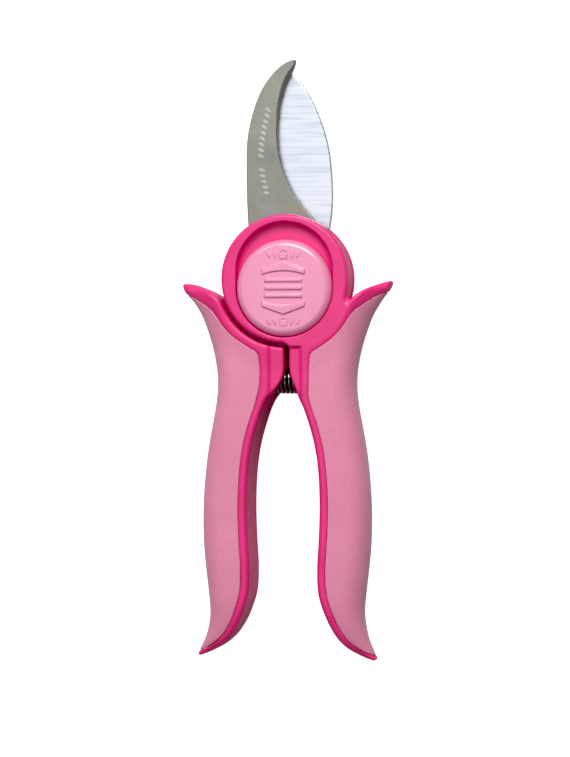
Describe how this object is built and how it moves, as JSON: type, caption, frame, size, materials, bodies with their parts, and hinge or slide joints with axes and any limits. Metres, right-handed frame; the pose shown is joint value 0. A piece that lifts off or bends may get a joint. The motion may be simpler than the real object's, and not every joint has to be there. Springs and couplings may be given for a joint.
{
  "type": "floral snips",
  "caption": "Small bypass snips with a hooked blade, a curved cutting blade, moulded handles with soft grips, a coil spring and a round sliding lock button.",
  "frame": {"origin": "where the pivot axis meets the plane of the back, the flat face the snips lie on", "axes": "+Z out of the front face with the lock button, +Y towards the blade tips, +X towards the handle that holds the hook blade"},
  "size_m": [0.0592, 0.1656, 0.0177],
  "materials": {
    "magenta_plastic": "satin-gloss magenta moulded plastic",
    "grip_pink": "matte light pink overmoulded soft grip",
    "button_pink": "satin light pink moulded plastic",
    "blasted_steel": "bead-blasted grey stainless steel",
    "brushed_blade": "bright cross-brushed stainless steel",
    "plain_steel": "plain zinc-plated steel"
  },
  "bodies": {
    "right_half": {"right_handle_core": "magenta_plastic", "right_grip": "grip_pink", "hook_blade": "blasted_steel", "hook_tang_pin_upper": "plain_steel", "hook_tang_pin_lower": "plain_steel", "detent_spring": "plain_steel", "main_spring": "plain_steel"},
    "left_half": {"left_handle_core": "magenta_plastic", "left_grip": "grip_pink", "cutting_blade": "brushed_blade", "cutting_tang_pin_upper": "plain_steel", "cutting_tang_pin_lower": "plain_steel", "pivot_bolt": "plain_steel", "pivot_washer": "plain_steel", "pivot_nut": "plain_steel", "rear_cap": "button_pink"},
    "lock": {"lock_button": "button_pink", "lock_slider": "plain_steel", "lock_pin": "plain_steel", "lock_screw_left": "plain_steel", "lock_screw_right": "plain_steel"}
  },
  "joints": [
    {"name": "handle_pivot", "type": "hinge", "parent": "right_half", "child": "left_half", "pos_m": [0, 0, 0.0075], "axis": [0, 0, -1], "range_deg": [0, 28], "deforming": ["main_spring"]},
    {"name": "lock_slide", "type": "slide", "parent": "right_half", "child": "lock", "axis": [0, 1, 0], "range_m": [0, 0.0049]}
  ]
}
